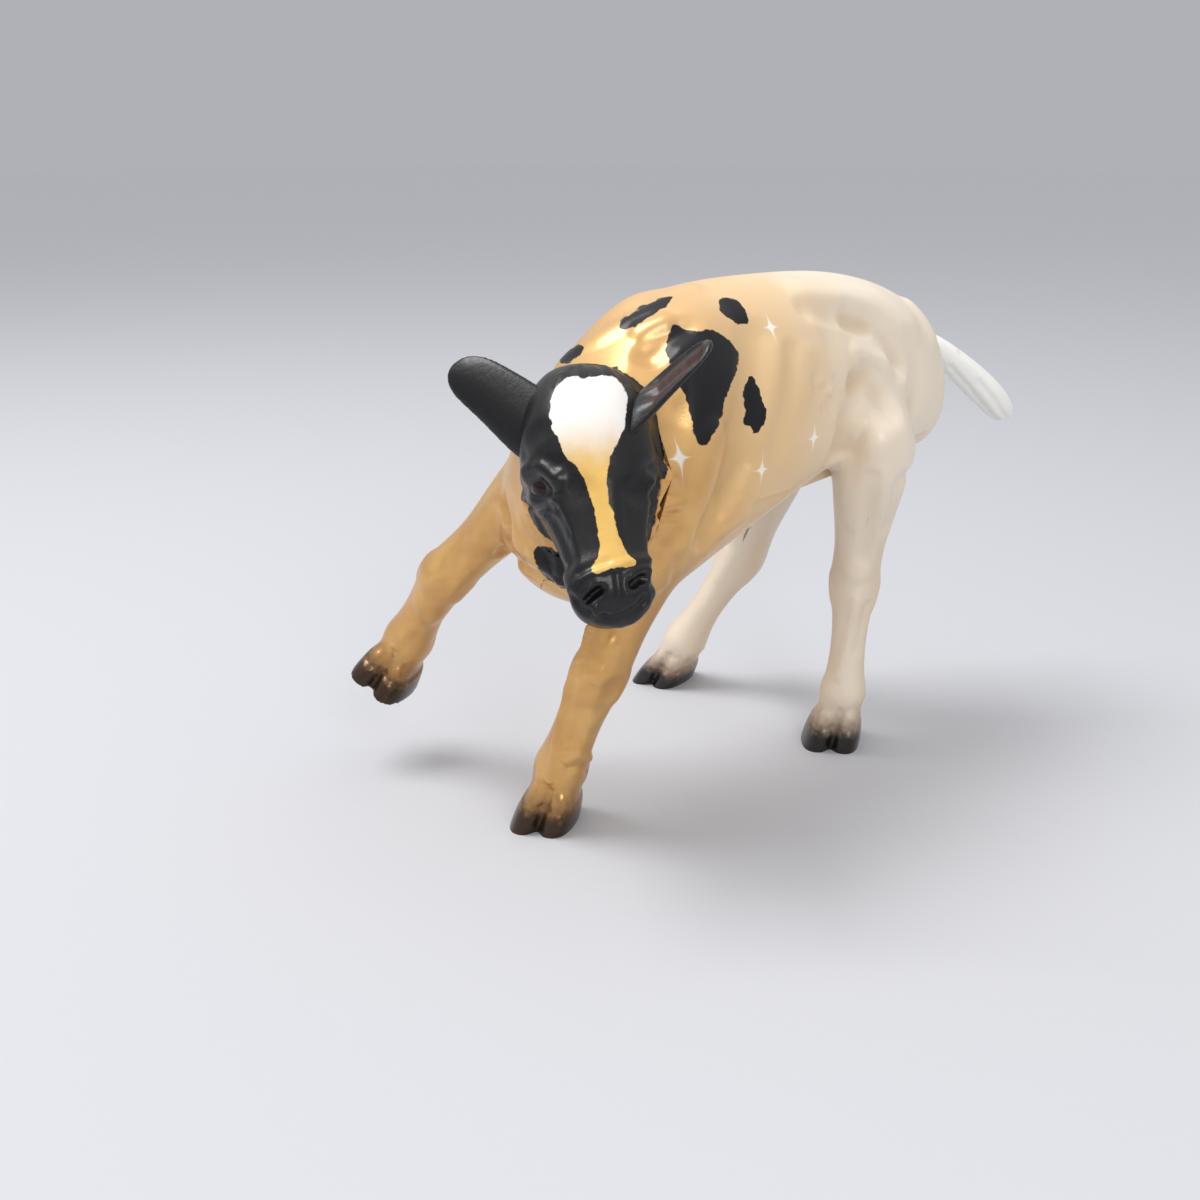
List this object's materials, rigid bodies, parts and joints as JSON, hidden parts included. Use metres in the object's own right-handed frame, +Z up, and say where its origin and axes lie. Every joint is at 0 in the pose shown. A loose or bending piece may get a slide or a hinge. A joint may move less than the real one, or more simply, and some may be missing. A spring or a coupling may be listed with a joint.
{
  "type": "calf figurine",
  "caption": "Figurine of a crouching calf with turned head and lifted foreleg, moulded as bonded hollow shells and halves.",
  "frame": {"origin": "on the floor, under the middle of the figure's bounding box", "axes": "+Z up, the calf's body lies along Y with its front towards -Y, its left side towards +X"},
  "size_m": [0.0716, 0.118, 0.085],
  "materials": {
    "cream_paint": "satin, pearl paint fading from gold to cream, with black patches",
    "gold_paint": "satin, pearl gold paint, hooves sprayed dark brown",
    "white_paint": "satin, cream white paint, hooves sprayed dark brown",
    "black_paint": "gloss black paint with a white and gold blaze"
  },
  "bodies": {
    "root": {"torso_shell_left": "cream_paint", "torso_shell_right": "cream_paint", "tail": "white_paint", "foreleg_left_outer": "gold_paint", "foreleg_left_inner": "gold_paint", "foreleg_right_outer": "gold_paint", "foreleg_right_inner": "gold_paint", "hindleg_left_outer": "white_paint", "hindleg_left_inner": "white_paint", "hindleg_right_outer": "white_paint", "hindleg_right_inner": "white_paint", "ear_left": "black_paint", "ear_right": "black_paint", "head_shell_left": "black_paint", "head_shell_right": "black_paint"}
  },
  "joints": []
}
